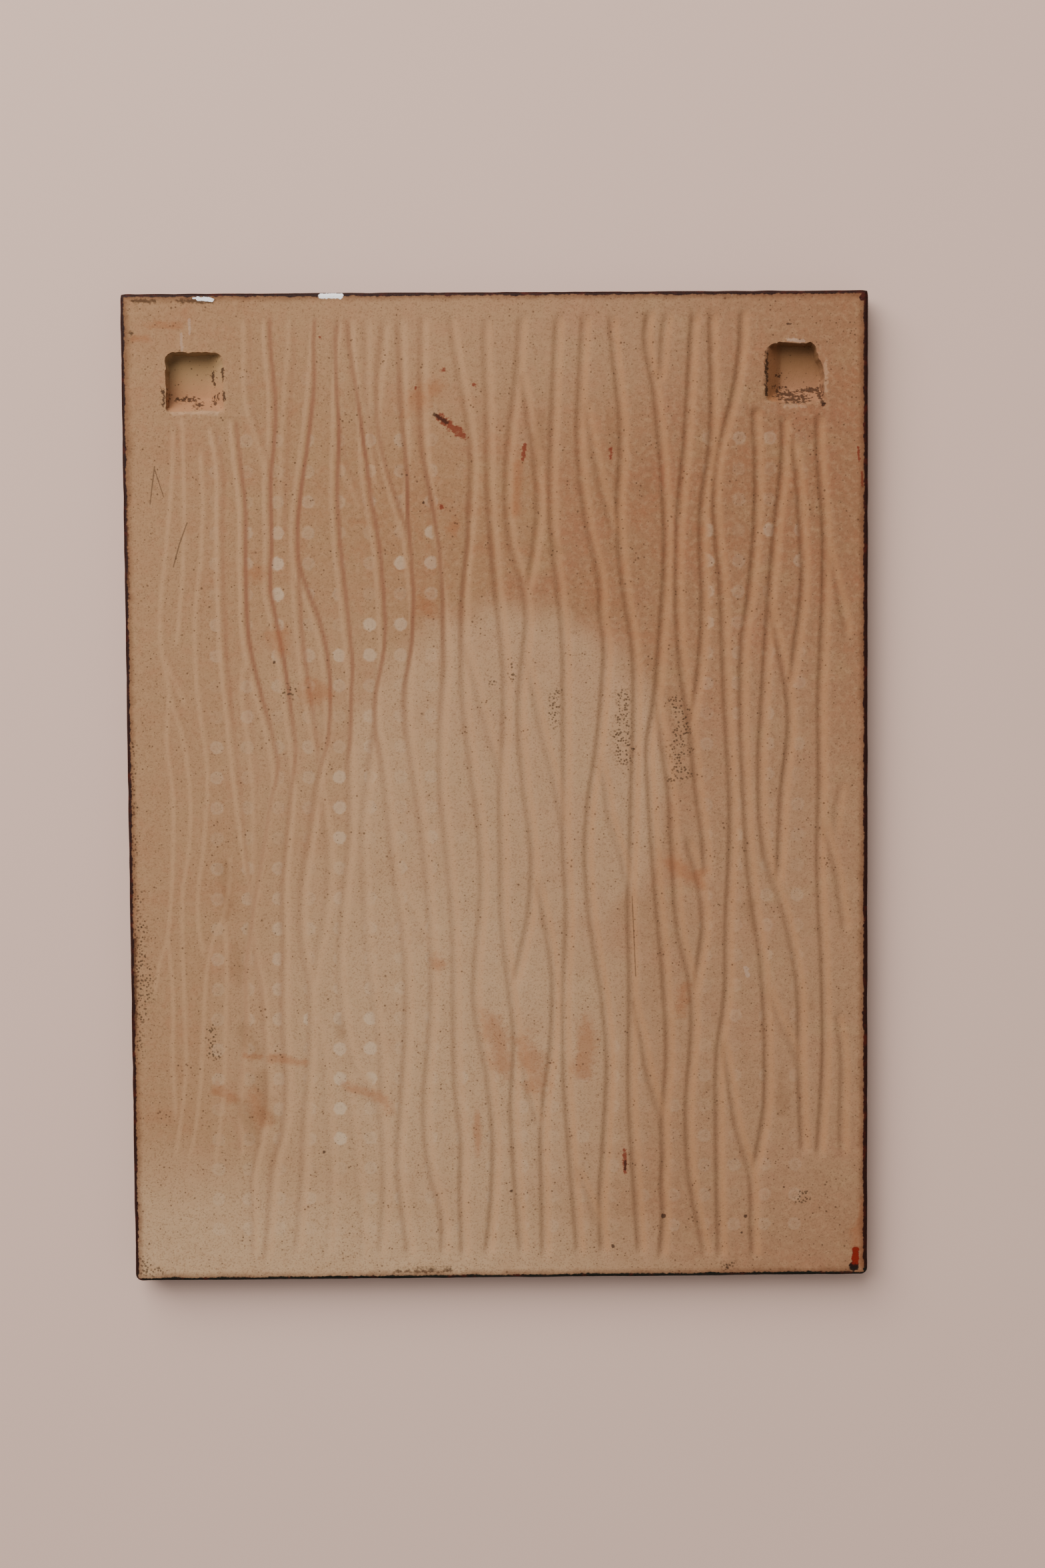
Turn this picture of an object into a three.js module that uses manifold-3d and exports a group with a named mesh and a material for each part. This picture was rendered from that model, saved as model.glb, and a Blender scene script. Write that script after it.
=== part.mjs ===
// A large ceramic wall tile, fired in one piece. It lies face down: the glazed face is on the
// floor and the bare back, with its two hanging sockets, is up.
// Millimetres. +Z up, +Y towards the edge that hangs uppermost, +X to the right as seen from
// the back. The origin is on the floor, under the middle of the tile.
import * as THREE from "three";
import { ConvexGeometry } from "three/addons/geometries/ConvexGeometry.js";
import { mergeVertices } from "three/addons/utils/BufferGeometryUtils.js";
import Module from "manifold-3d";

const wasm = await Module();
wasm.setup();

// The slab
const tileWidth = 300;
const tileHeight = 400;
const tileThickness = 15;
const cornerRadius = 3; // the four corners, seen from above
const edgeRadius = 1.5; // the glazed edge, where it rolls over to the back and to the face

// The two hanging sockets in the back. Each has an upright top wall, which bears on the hook,
// and an upright outer wall. The other two walls slope down to the floor.
const socketMouth = 24; // each side of the square mouth
const socketRadius = 2.5; // the mouth's and the floor's corners
const socketSideMargin = 18; // from the tile's long edge to the mouth
const leftSocketTopMargin = 23.5; // from the tile's top edge to the mouth
const rightSocketTopMargin = 21; // the right one was set a little higher
const socketInnerSlope = 7.5; // run of the sloping wall towards the tile's middle
const socketLowerSlope = 6; // run of the sloping wall under the hook
const socketWeb = 7; // clay left between the socket's floor and the glazed face

// How finely the round stretches are drawn
const cornerSegments = 6;
const edgeSegments = 4;
const cutClearance = 1; // how far a cutter stands out of the face that it enters

// A rectangle with round corners, as a shape in the XY plane.
function roundedRectangle({ left, right, bottom, top }, radius) {
  const shape = new THREE.Shape();
  const quarter = Math.PI / 2;
  shape.absarc(right - radius, bottom + radius, radius, -quarter, 0);
  shape.absarc(right - radius, top - radius, radius, 0, quarter);
  shape.absarc(left + radius, top - radius, radius, quarter, 2 * quarter);
  shape.absarc(left + radius, bottom + radius, radius, 2 * quarter, 3 * quarter);
  return shape;
}

// A closed geometry as a solid that can be cut.
function solidFrom(geometry) {
  geometry.deleteAttribute("normal");
  geometry.deleteAttribute("uv");
  const merged = mergeVertices(geometry);
  return new wasm.Manifold(
    new wasm.Mesh({
      numProp: 3,
      vertProperties: merged.attributes.position.array,
      triVerts: new Uint32Array(merged.index.array),
    }),
  );
}

// A cut solid as a geometry with flat-shaded faces.
function geometryFrom(solid) {
  const { vertProperties, triVerts } = solid.getMesh();
  const shared = new THREE.BufferGeometry();
  shared.setAttribute("position", new THREE.BufferAttribute(vertProperties, 3));
  shared.setIndex(new THREE.BufferAttribute(triVerts, 1));
  const geometry = shared.toNonIndexed();
  geometry.computeVertexNormals();
  return geometry;
}

// The plain slab, its face at z = 0 and its back at z = tileThickness.
function slab() {
  const outline = roundedRectangle(
    { left: -tileWidth / 2, right: tileWidth / 2, bottom: -tileHeight / 2, top: tileHeight / 2 },
    cornerRadius,
  );
  const geometry = new THREE.ExtrudeGeometry(outline, {
    depth: tileThickness - 2 * edgeRadius,
    bevelThickness: edgeRadius,
    bevelSize: edgeRadius,
    bevelOffset: -edgeRadius,
    bevelSegments: edgeSegments,
    curveSegments: cornerSegments,
  });
  geometry.translate(0, 0, edgeRadius);
  return solidFrom(geometry);
}

// The cutter for one socket. side is -1 for the left one and 1 for the right one.
function socketCutter(side, topMargin) {
  const outerX = side * (tileWidth / 2 - socketSideMargin);
  const innerX = outerX - side * socketMouth;
  const floorInnerX = innerX + side * socketInnerSlope;
  const top = tileHeight / 2 - topMargin;
  const bottom = top - socketMouth;
  const box = (xA, xB, lowest) => ({
    left: Math.min(xA, xB),
    right: Math.max(xA, xB),
    bottom: lowest,
    top,
  });
  const mouth = roundedRectangle(box(outerX, innerX, bottom), socketRadius);
  const floor = roundedRectangle(box(outerX, floorInnerX, bottom + socketLowerSlope), socketRadius);
  const ring = (shape, z) =>
    shape.getPoints(cornerSegments).map((point) => new THREE.Vector3(point.x, point.y, z));
  return solidFrom(
    new ConvexGeometry([
      ...ring(floor, socketWeb),
      ...ring(mouth, tileThickness),
      ...ring(mouth, tileThickness + cutClearance),
    ]),
  );
}

const body = slab()
  .subtract(socketCutter(-1, leftSocketTopMargin))
  .subtract(socketCutter(1, rightSocketTopMargin));

const firedClay = new THREE.MeshStandardMaterial({ color: 0xc9a07c, roughness: 0.9, metalness: 0 });
const tile = new THREE.Mesh(geometryFrom(body), firedClay);
tile.name = "wall_tile";

const part = new THREE.Group();
part.add(tile);
export default part;
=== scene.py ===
"""The looks of a large ceramic wall tile that lies face down, with its bare back up.

The back is unglazed clay with long combed grooves and two hanging sockets. The glaze of the
hidden face rolls over the edges and shows as a thin dark line round the back.
Lengths are in millimetres until a mesh, a light or the camera is made.
"""

import math

import bpy
import numpy as np
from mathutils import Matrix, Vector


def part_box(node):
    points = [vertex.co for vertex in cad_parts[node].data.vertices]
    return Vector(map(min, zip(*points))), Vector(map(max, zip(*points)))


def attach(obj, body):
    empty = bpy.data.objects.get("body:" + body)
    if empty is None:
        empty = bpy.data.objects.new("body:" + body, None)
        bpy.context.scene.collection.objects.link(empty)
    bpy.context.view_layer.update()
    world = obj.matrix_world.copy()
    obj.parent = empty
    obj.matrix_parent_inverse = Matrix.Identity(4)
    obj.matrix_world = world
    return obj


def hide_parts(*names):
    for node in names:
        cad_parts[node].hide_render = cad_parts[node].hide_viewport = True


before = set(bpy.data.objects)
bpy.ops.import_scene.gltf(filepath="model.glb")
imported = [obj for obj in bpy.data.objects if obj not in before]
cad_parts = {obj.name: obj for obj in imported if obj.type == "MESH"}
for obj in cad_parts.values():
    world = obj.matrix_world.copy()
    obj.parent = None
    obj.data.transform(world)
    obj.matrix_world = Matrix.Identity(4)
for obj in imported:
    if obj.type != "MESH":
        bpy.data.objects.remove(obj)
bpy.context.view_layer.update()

MM = 0.001  # one millimetre in Blender's metres

# The slab, from the frame
low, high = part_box("wall_tile")
HALF_WIDTH = (high.x - low.x) / 2 / MM
HALF_HEIGHT = (high.y - low.y) / 2 / MM
THICKNESS = (high.z - low.z) / MM
CORNER_RADIUS = 3.0
EDGE_RADIUS = 1.5  # where the glazed edge rolls over
TOP_CORNER_ROUNDING = 0.45  # the two top corners are sharper than the bottom ones
EDGE_WOBBLE = 0.3  # how far the outline wanders in from its straight line
BACK_UNEVENNESS = 0.14  # how far the flats dip

# The sockets, as in the part's source: each mouth's walls, and the runs of its two slopes
SOCKET_MOUTH = 24.0
SOCKET_OUTER = 132.0  # from the tile's middle to the outer wall
LEFT_SOCKET_TOP = 176.5
RIGHT_SOCKET_TOP = 179.0
SOCKET_DEPTH = 8.0
SOCKET_INNER_SLOPE = 7.5
SOCKET_LOWER_SLOPE = 6.0
SOCKET_WALL_RUN = 0.5  # how far an upright wall leans over its whole depth
SOCKET_BLUNTNESS = 0.45  # how softly the walls meet the socket's floor and the back
SOCKET_CORNERS = {"outer top": 3.0, "inner top": 5.5, "bottom": 1.8}  # radii of a mouth's corners
BEND_REACH = 3.5  # how far outside a mouth the clay follows its rounded corners
BROKEN_CORNER = 4.0  # how far the right socket's outer top corner is broken inwards
BROKEN_HALF = (0.6, 6.6)  # half of the broken stretch: where it is whole, and where it has ended
BROKEN_EASE = 0.3  # share of the corner's own radius that the break already has
TORN_BAND = (0.6, 3.0)  # how far from a mouth's edge the tearing is whole, and where it has ended
SOCKET_RAGGEDNESS = 0.6  # how far the torn rims wander

# How finely the mesh is drawn
COLUMN_STEP = 0.76
ROW_STEP = 2.3
SOCKET_ROW_STEP = 0.75
EDGE_LINES = (0.0, 0.2, 0.55, 1.0, 1.6, 2.3)  # the close lines, by their distance from an edge
LINE_GAP = 0.3  # the least room between two of the mesh's lines
SOCKET_ROOM = 3.0  # how far past the mouths the close rows reach
SIDE_LINES = (0.63, 0.37)  # heights of the lines along the sides, as shares of the thickness
BOTTOM_TURNS = (0, 22.5, 45, 67.5, 90)  # steps round the rolled edge of the face, in degrees
SHARP_TURN = 55  # a bend sharper than this, in degrees, is drawn as a crease

# The combed grooves. A groove is drawn along its lit side, from the top down.
# Each groove has a steep side, painted darker with stain and painted shade, and a gentle lit side,
# painted lighter with painted light.
GROOVE_DEPTHS = {"deep": 0.9, "middling": 0.68, "faint": 0.42}
GROOVE_TAPER = 3.5  # length over which a groove runs out at its ends
STEEP_RUN = 1.7  # width of the steep side
GENTLE_RUN = 4.4  # width of the gentle side
FLOOR_HALF = 0.25  # half the width of its floor

GROOVES = {
    "deep": (
        [(-92.4, 190), (-92.3, 180), (-90.7, 160), (-90.6, 150), (-91.2, 140), (-92.6, 128),
         (-92.7, 100), (-93.2, 80), (-91.4, 70), (-87.9, 50), (-85.4, 30), (-83.4, 12), (-82.9, 0),
         (-84.6, -20), (-86, -40), (-85.8, -60), (-86.4, -85), (-86, -130), (-87.3, -140),
         (-90.4, -150), (-92.7, -170), (-94.8, -191)],
        [(-72.9, 190), (-73.5, 180), (-75.2, 160), (-77.7, 140), (-80.8, 120), (-82.3, 104),
         (-81.3, 90), (-77.9, 80), (-74.2, 70), (-71.7, 60), (-69.5, 38), (-69.2, 28), (-71.3, 5),
         (-75, -20), (-78.4, -42), (-78.6, -58), (-75.6, -80), (-75.4, -95), (-76.5, -115),
         (-78.6, -140), (-79.2, -155), (-82.3, -189)],
        [(-106.5, 150), (-104.6, 130), (-103.3, 118), (-103.2, 90), (-102.1, 60), (-97.8, 40),
         (-92.7, 20), (-90.8, 8), (-93.3, -10), (-96.3, -30), (-99.6, -48), (-101.3, -60),
         (-103, -70), (-103.2, -95), (-105.8, -120), (-106.4, -135), (-105.9, -148)],
        [(-62, 189), (-63.1, 180), (-64.8, 160), (-65.1, 145), (-66, 120), (-65.2, 100),
         (-63.2, 80), (-60, 42), (-58.6, 12), (-58.8, -20), (-61, -40), (-63.3, -77), (-62.1, -90),
         (-60.2, -103), (-57.5, -112), (-51.8, -121), (-48, -130), (-46.6, -138)],
        [(-57.2, 189), (-56.9, 180), (-55.4, 160), (-52.9, 120), (-49.6, 100), (-47.5, 70),
         (-47.1, 58), (-48.2, 32), (-45, 11), (-42.9, -10), (-40, -40), (-37.3, -60), (-36.1, -80),
         (-36.6, -100), (-38.8, -130), (-40.2, -152), (-38.8, -170), (-36, -190)],
        [(-36.6, 189), (-35.8, 160), (-35.4, 135), (-37.3, 108), (-34.8, 75), (-34.4, 55),
         (-35.4, 32), (-31.5, 0), (-29, -20), (-27.3, -40), (-25.8, -80), (-26.8, -100),
         (-29, -125), (-28.9, -140), (-26.1, -160), (-22.6, -173), (-22.3, -190)],
        [(-27.6, 190), (-27.6, 140), (-25, 110), (-20.4, 70), (-19.3, 54), (-21, 30), (-21.6, 4),
         (-19.6, -20), (-17.5, -45), (-16.6, -95), (-16.3, -120), (-14.1, -144), (-14.6, -165),
         (-13.9, -191)],
        [(-16.4, 190), (-13.2, 170), (-9.6, 150), (-7.9, 132), (-8.3, 120), (-11.9, 80),
         (-12.2, 60), (-12.2, 40), (-9.2, 10), (-5.6, -20), (-5.2, -38), (-7.8, -70), (-8.5, -82),
         (-2.9, -120), (-1, -145), (-1.6, -163), (-4.3, -190)],
        [(-2.2, 189), (-2.3, 180), (-1.4, 150), (-1.2, 120), (1.7, 80), (4.5, 50), (4.4, 26),
         (2.8, 2), (3, -25), (3.1, -52), (5.8, -80), (7.9, -100), (6.5, -130), (7.3, -150),
         (9.9, -190)],
        [(12.2, 190), (10.8, 170), (7.1, 140), (5.9, 118), (7.6, 99), (12.6, 81), (13.8, 70),
         (12.2, 52), (10.6, 36), (12.3, 2), (15.3, -25), (14, -50), (9.6, -70), (7.2, -79)],
        [(12, 168), (13.2, 160), (17.8, 130), (18.7, 115), (17.3, 100), (13.8, 81)],
        [(26.8, 190), (25.3, 160), (23.8, 120), (24, 108), (26.8, 80), (28.7, 58), (28.8, 38),
         (28.6, 0), (28.3, -18), (29.5, -50), (27.9, -85), (28.2, -115), (30.3, -150),
         (33.3, -190)],
        [(37.5, 190), (36.3, 170), (35.2, 135), (37.9, 110), (43.7, 80), (43.6, 73), (45.4, 59),
         (44.4, 40), (42.5, 20), (38.1, -10), (37.3, -25), (38.8, -50), (44.4, -90), (45.8, -110),
         (44.4, -140), (42.4, -175), (43.2, -190)],
        [(48, 190), (50, 170), (52.3, 145), (50.9, 109), (52.1, 90), (57.3, 50), (57.3, 32),
         (56.3, 0), (55.7, -22), (54.8, -40), (55.2, -80), (54.7, -125), (57.1, -170),
         (58.4, -190)],
        [(55.5, -84), (59, -100), (62.9, -120), (67.4, -134)],
        [(63.5, 192), (62.3, 184), (65.8, 160), (69.3, 120), (70, 100), (67.7, 60), (65.4, 35),
         (62.5, 18), (63.1, 0), (65.6, -40), (68.8, -78), (70, -112), (67.9, -136), (68.3, -150),
         (67.7, -162), (68.3, -173), (66.9, -192)],
        [(65.6, 37), (68.2, 20), (71.1, 0), (72.5, -25), (75.2, -60), (79.6, -80), (80.3, -90),
         (77.9, -135), (79.3, -160), (82.9, -180), (85.2, -191)],
        [(17.2, -38), (19.8, -50), (23.6, -76), (23.1, -100), (18.8, -137), (18.9, -165),
         (19.1, -191)],
        [(81.3, 191), (78.1, 140), (74.9, 105), (74.4, 80), (76.1, 50), (80.3, 20), (82.2, 0),
         (85.2, -25), (85.3, -36)],
        [(88.4, 191), (88.9, 160), (88.2, 138), (84.8, 115), (84.3, 103), (85, 75), (82.9, 45),
         (79.4, 26)],
        [(100.8, 192), (100.6, 180), (97.8, 160), (90.6, 131), (89.8, 122), (92.5, 80), (93.8, 40),
         (96.2, -12), (94.3, -60), (94, -83), (90.7, -108), (90.3, -140), (91.1, -192)],
        [(105.7, 153), (106.7, 125), (103.9, 80), (101.1, 60), (100.4, 36), (101.5, 0),
         (104.2, -40), (108.6, -72), (110.2, -110), (109.8, -130), (106.4, -150), (104.6, -157)],
        [(117.2, 150), (117.5, 140), (113.8, 100), (111.3, 70), (109.4, 40), (107.8, 4),
         (108.5, -15), (110.7, -30), (117.5, -50), (123.3, -80), (123.9, -110), (125.1, -149)],
        [(111.7, 74), (115.8, 55), (119.3, 37), (119.8, 26), (117.1, 0), (115.2, -33),
         (114.6, -39)],
        [(120.6, 141), (122.5, 130), (124.8, 100), (125.4, 88), (122.7, 60), (119.8, 41)],
        [(131.3, 150), (131.4, 140), (134, 102), (133.7, 75), (132.1, 35), (132.3, 0),
         (131.7, -25), (133.8, -85), (134, -105), (131.6, -150)],
        [(92.4, -103), (95.2, -120), (98.5, -140), (103.7, -158), (104.5, -182), (105, -192)],
        [(77.8, -20), (83.3, -40), (84.8, -54), (82.1, -75), (80.6, -84)],
    ),
    "middling": (
        [(-114.7, 147), (-112, 130), (-112.2, 110), (-112.3, 80), (-111.7, 60), (-108.3, 20),
         (-105.2, -10), (-102.7, -30), (-99.5, -44)],
        [(-100, -56), (-97.9, -70), (-95.8, -80), (-94.4, -100), (-93.6, -115), (-94.3, -130),
         (-97.5, -145), (-100.2, -156), (-100.3, -175), (-100.6, -190)],
        [(-82, 92), (-81.3, 70), (-78.1, 40), (-74.6, 20), (-71.5, 9)],
        [(-71, 2), (-68.8, -10), (-67.3, -28), (-69, -50), (-73.2, -70), (-75.6, -84)],
        [(-48, 26), (-50.5, 8), (-53.2, -12), (-53, -35), (-51.4, -70), (-49, -90), (-46.7, -110),
         (-46.8, -130), (-46, -155), (-46.4, -170), (-48.2, -190)],
        [(-42.7, 189), (-43.5, 180), (-46.2, 160), (-47, 145), (-45.2, 130), (-40.4, 112),
         (-37.8, 102)],
        [(-11.7, 60), (-9.2, 50), (-1.3, 20), (2, 8), (2.6, 2)],
        [(12.8, 54), (15, 45), (20.4, 20), (25.3, 0), (28, -16)],
        [(31.6, -153), (34.6, -160), (41.5, -178)],
        [(37.2, 156), (40.4, 140), (44.4, 120), (49.2, 103)],
        [(41.8, 14), (45.3, 0), (46.5, -10), (52.3, -30), (53.6, -38)],
        [(70.6, 191), (69.2, 182), (68.5, 172), (67, 163)],
        [(8.2, -98), (12.5, -120), (17.7, -138)],
        [(134.3, 101), (136.7, 90), (141.5, 70), (142.8, 61)],
        [(133, -12), (134.8, -20), (137.8, -30), (141.1, -50), (142.2, -59)],
        [(109.8, -79), (113.6, -90), (122.5, -110), (123.9, -117)],
        [(138.8, -92), (140.8, -104), (141, -140), (141.3, -150)],
    ),
    "faint": (
        [(-100.5, 190), (-100.2, 180), (-100.4, 160), (-98.7, 150), (-95.3, 140), (-93.2, 130),
         (-92.7, 120)],
        [(-82.2, 190), (-82.5, 180), (-84.3, 160), (-85.7, 140), (-86.7, 120), (-87.5, 103)],
        [(-102, 52), (-103.2, 42), (-100.8, 20), (-99, 0), (-99.2, -20), (-99.5, -42)],
        [(-118.3, 138), (-117.6, 115), (-118.2, 100), (-121.4, 68), (-120.8, 40), (-117.2, 8),
         (-119, -20), (-121.8, -45), (-121, -60), (-119.6, -66)],
        [(-125.4, 152), (-125, 125), (-125.9, 90), (-128.9, 59)],
        [(-129, 147), (-129.3, 135), (-132.3, 100), (-135.4, 68), (-135, 58), (-132.4, 42),
         (-133.5, 20), (-131.3, 0), (-131.4, -20), (-133.3, -50), (-134.6, -60), (-137.9, -70),
         (-139.6, -82)],
        [(-134.3, -58), (-133.1, -70), (-132.5, -80), (-132.9, -110), (-132, -133)],
        [(-134, 55), (-131, 47.5), (-128.2, 41.5), (-125.3, 34.5)],
        [(-132.3, 41), (-130.3, 33), (-127.5, 24), (-125.7, 14), (-124.3, -2), (-124.8, -20),
         (-127.9, -42), (-128.3, -60), (-127.7, -90), (-128.1, -120), (-131, -140),
         (-132.3, -149)],
        [(-108.3, -25), (-109.4, -40), (-111.7, -50), (-115.8, -60), (-118.1, -70), (-120.3, -95),
         (-121.8, -120), (-124.6, -140), (-127, -150)],
        [(-111.2, -52), (-110.6, -65), (-111.4, -95), (-112.3, -120), (-114.8, -140),
         (-116.4, -151)],
        [(-74.8, -88), (-72.6, -98), (-70.3, -108), (-69.2, -130), (-67.7, -152), (-68.1, -170),
         (-70.1, -190)],
        [(-64.5, 142), (-61.5, 130), (-57.3, 120), (-54.5, 113)],
        [(-61, -113), (-60.7, -120), (-58.6, -140), (-55.8, -170), (-55, -191)],
        [(-39.5, -32), (-36.5, -42), (-30, -57), (-27.8, -64)],
        [(-50.2, 189), (-50.2, 175), (-51.1, 160), (-49.2, 130), (-47.8, 122)],
        [(140.8, 2), (138.5, -12), (138.2, -19)],
    ),
}

# The grooves lean over a line that wanders down the tile: x of that line at some heights, bottom
# up. On its right a groove's steep side is its left one, on its left it is the right one.
TURN_LINE = ((-150, -110), (-100, -105), (-40, -100), (0, -90), (20, -65), (40, -55), (60, -35),
              (80, -25), (100, -20), (120, -30), (140, -45), (180, -68))
TURN_BLUR = 14.0
FLOOR_ASIDE_RIGHT = 1.75  # from the lit side to the floor, right of the line
FLOOR_ASIDE_LEFT = 1.5  # the same, left of the line

# Towards the left the grooves are shallower, and more of their look is painted: stain with painted
# shade on one side, painted light on the other. x at which they reach their full depth at some
# heights, bottom up, and how far left of it they are down to the least share
FULL_LINE = ((-200, 5), (-120, 25), (-60, 66), (0, 62), (60, 58), (110, 72), (200, 76))
FADE = 120.0
SHALLOW_SHARE = 0.26

# The two stripes along a groove, one of stain and painted shade on the steep side and one of
# painted light on the gentle side: how far a stripe's middle lies beside the floor, where minus is
# the steep side, and how far from its middle it is whole, and has ended. Both end further out on
# the right of the line that the grooves lean over.
SHADE_AND_STAIN_STRIPE = {"aside": -0.8, "core": 0.35, "edge": 1.35}
PAINTED_LIGHT_STRIPE = {"aside": 1.9, "core": 0.3, "edge": 1.4}
STRIPE_WIDENING = 0.6

# The pale dots of the kiln's setter: a grid that leans a little
DOTS_ACROSS = 12.38
DOTS_UP = 12.29
DOT_COLUMN = -64.3  # x of one column, where y is 0
DOT_ROW = 5.9  # y of one row
DOT_LEAN = 0.009  # how far a column drifts to the right for each millimetre up
DOT_RADIUS = 2.65
DOT_COLUMNS = (-4, 15)  # the first and the last column, counted from the one above
DOT_ROWS = (-15, 13)  # the lowest and the highest row
FAINT_DOTS = 0.2  # how pale the plainest of the usual dots are
DOTS_IN_MIDDLE = 0.04  # the same, where the bleached patch nearly hides them

# Runs of brighter dots: column, lowest and highest row, and strength
BRIGHT_DOTS = (
    (-2, 4, 5, 0.26), (-2, 6, 7, 0.48), (-2, 8, 8, 0.32), (2, 7, 7, 0.42), (3, 7, 8, 0.36),
    (1, 4, 5, 0.42), (2, 5, 5, 0.35), (0, 4, 4, 0.36), (0, -2, 0, 0.4), (1, 0, 0, 0.22),
    (-2, -6, -5, 0.32), (-2, -8, -7, 0.22), (-1, -8, -8, 0.5), (0, -8, -8, 0.38),
    (0, -10, -9, 0.42), (0, -12, -11, 0.46), (1, -10, -8, 0.44), (12, 5, 8, 0.26),
    (13, 11, 11, 0.16), (14, 11, 11, 0.2), (14, 8, 8, 0.26), (15, 7, 8, 0.2),
)

# Pale patches: bleached clay, and the two lowest are painted light that makes the bottom of the
# back lighter: middle x and y, half width, half height, softness of the edge and strength
PALE_PATCHES = (
    (4, 3, 68, 71, 0.13, 0.5), (-22, -105, 82, 100, 0.6, 0.62), (-110, -205, 170, 52, 0.6, 0.78),
    (-76, 15, 40, 62, 0.7, 0.26), (5, 200, 100, 50, 0.7, 0.26), (-155, 10, 70, 270, 0.8, 0.16),
    (108, -80, 62, 130, 0.6, 0.28),
)

# Marks on the back: a spot is x, y and radius, a stroke is x, y, to x, to y and half width
RED_MARKS = (
    (-22.6, 150.2, -13.2, 143.0, 1.9), (-8.2, 163, 1.0), (-32, 162, 0.8), (-21, 169, 1.0),
    (-22, 114.2, 1.3), (-70, 182, 0.8), (11.6, 139, 11.0, 133.5, 0.9),
    (46.2, 137, 46.2, 133.4, 0.8), (145.6, 137, 146.0, 132, 0.6), (147.3, 127, 147.6, 122, 0.6),
    (50.4, -147.6, 50.6, -156.5, 0.9),
)
BLACK_MARKS = (
    (-24.6, 151.4, -19.6, 148.0, 1.0), (-72.3, -147.1, 0.7), (66.3, -175, 1.1),
    (99.6, -175.2, 0.8), (98.1, -181.8, 0.6), (-90, 52.3, 0.7), (4, -164, 0.8), (45.6, -187, 1.0),
    (-29.3, 116, 0.6), (115.6, -163.3, 0.5), (131.7, 154.2, 0.8), (50.6, -152, 50.7, -155.5, 0.6),
    (117.2, 186.4, 118.6, 186.4, 0.5),
)
SCRATCHES = (
    (-124.3, 108.5, -127.5, 100, 0.28), (-127.5, 100, -130, 91, 0.28), (-137, 131, -139, 116, 0.28),
    (-137, 130, -133.5, 119, 0.22), (54.0, -43.5, 55.3, -76, 0.22),
)
CHALK_MARKS = (
    (-125.4, 184, -125.4, 177.2, 0.7), (-122.2, 189.5, -122.2, 184, 0.6),
    (117.8, 180.2, 124, 179.4, 0.9), (95, 197.9, 0.6), (100, -73, 101, -76, 1.2),
)
ORANGE_BLOTCHES = (
    (-104, -107.5, -97, -107.8, 1.4), (-94, -108.5, -80, -110.5, 1.8),
    (-115, -121.5, -109, -124, 2.6), (-101, -124, -97, -134, 3.6), (-64, -119.5, -53, -123.5, 1.8),
    (-52, -123.5, -45, -129, 2.2), (-25, -69.6, 4), (-29, 75, 5), (-88, 61, 5), (-73.6, 39.5, 6),
    (8.6, 131, 8.0, 112, 2.2), (-17.5, 106, 3), (-31, 156, 6), (-24, 162, 5), (-97, 88, 4),
    (-140, 187.3, -126, 187.3, 1.4), (-144.7, 182, -139, 182, 1.5), (74, -82, 73.5, -90, 3.5),
    (35, -96, 34, -116, 4), (10, -105, 16, -120, 5), (-3, -95, 2, -112, 5),
    (-10, -132, -9.5, -148, 1.6), (145.2, -181, 145.2, -190, 2.2),
    (147.6, -170, 147.6, -196, 1.6), (70, -30, 82, -38, 4),
)
BROWN_SMUDGES = (
    (-107.5, -62, -106.5, -78, 2.4), (-112, -30, -110, -48, 3), (-104, -98, -99, -106, 3.5),
    (-97, -118, -95.5, -131, 4), (-105, -127, -101, -142, 3), (-66, -92, -65.5, -99, 2),
    (84.5, -121.5, 2.2), (127.5, -89.5, 2.6), (102, -46, 103, -56, 2.5), (114, -118, 116, -132, 3),
    (18, 150, 17, 132, 3), (47, 150, 46, 138, 2.5), (62, 128, 61, 119, 2.5), (24, 98, 3),
    (-147, 190, -147, 120, 1.6), (147.4, 190, 147.4, 30, 1.4), (147.4, -20, 147.2, -150, 1.4),
)
SPECK_CROWDS = (
    (50, 39, 50, 13, 3), (73, 33, 73.3, 8, 3.5), (22.8, 38, 22.8, 27, 2.2), (14, 20, 2),
    (-2, 44.5, 2), (5.5, 50, 5.8, 46, 1.5), (-118, -96, -117, -107, 2), (-84, 41, 3),
    (122.8, -166.9, 3.5), (-97, 96.5, 2), (-147.5, -42, -146.5, -70, 3.4),
    (-146.5, -72, -146, -88, 5.5), (-147.5, -88, -147.5, -108, 2.6), (-147.5, 20, -148, -40, 1.5),
    (-146, -192, -142, -198, 3), (92.3, -195.3, 2.4),
)
EDGE_GRIME = (
    (-148.6, -60, -148.4, -98, 1.2), (-44.4, -196.2, -17, -196, 1.2), (92.3, -195.7, 1.6),
    (-144.5, 196.8, -135.5, 196.8, 1.1), (-126, 196.8, -113, 197.0, 1.3),
    (-148.8, 117, -148.8, 78, 1.0), (-145.4, 184.3, 1.2),
)
SOCKET_DIRT = (
    (-129, 158.8, -121, 158.4, 1.8), (-119.8, 156.0, 3.2), (-112.2, 159.2, 2.6),
    (-113.4, 156.8, 1.8), (-113.8, 169, -113.2, 164, 1.5),
    (-109.2, 170, -109.1, 165.5, 1.1), (-109.0, 160.5, -109.0, 157.5, 1.2),
    (-132.8, 162, -132.9, 154.6, 1.3), (115.4, 159.4, 123.8, 157.8, 4.6),
    (108.8, 158, 109.0, 175, 1.2), (130.6, 162, 131.2, 155, 1.7), (124, 160.6, 129, 161.4, 2.0),
    (114.4, 166.6, 1.8), (117, 156.6, 122, 156.6, 2.6),
)
# Pale torn lips of the sockets; the one along the left socket's bottom rim is a painted highlight
# where the rim faces the light
SOCKET_LIPS_AND_HIGHLIGHTS = (
    (-129.4, 152.4, -111.7, 152.2, 1.2), (132.6, 171, 132.4, 160, 1.4),
    (116, 153.6, 124, 153.6, 1.0), (117, 180.3, 121, 180.3, 0.8),
)

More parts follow.
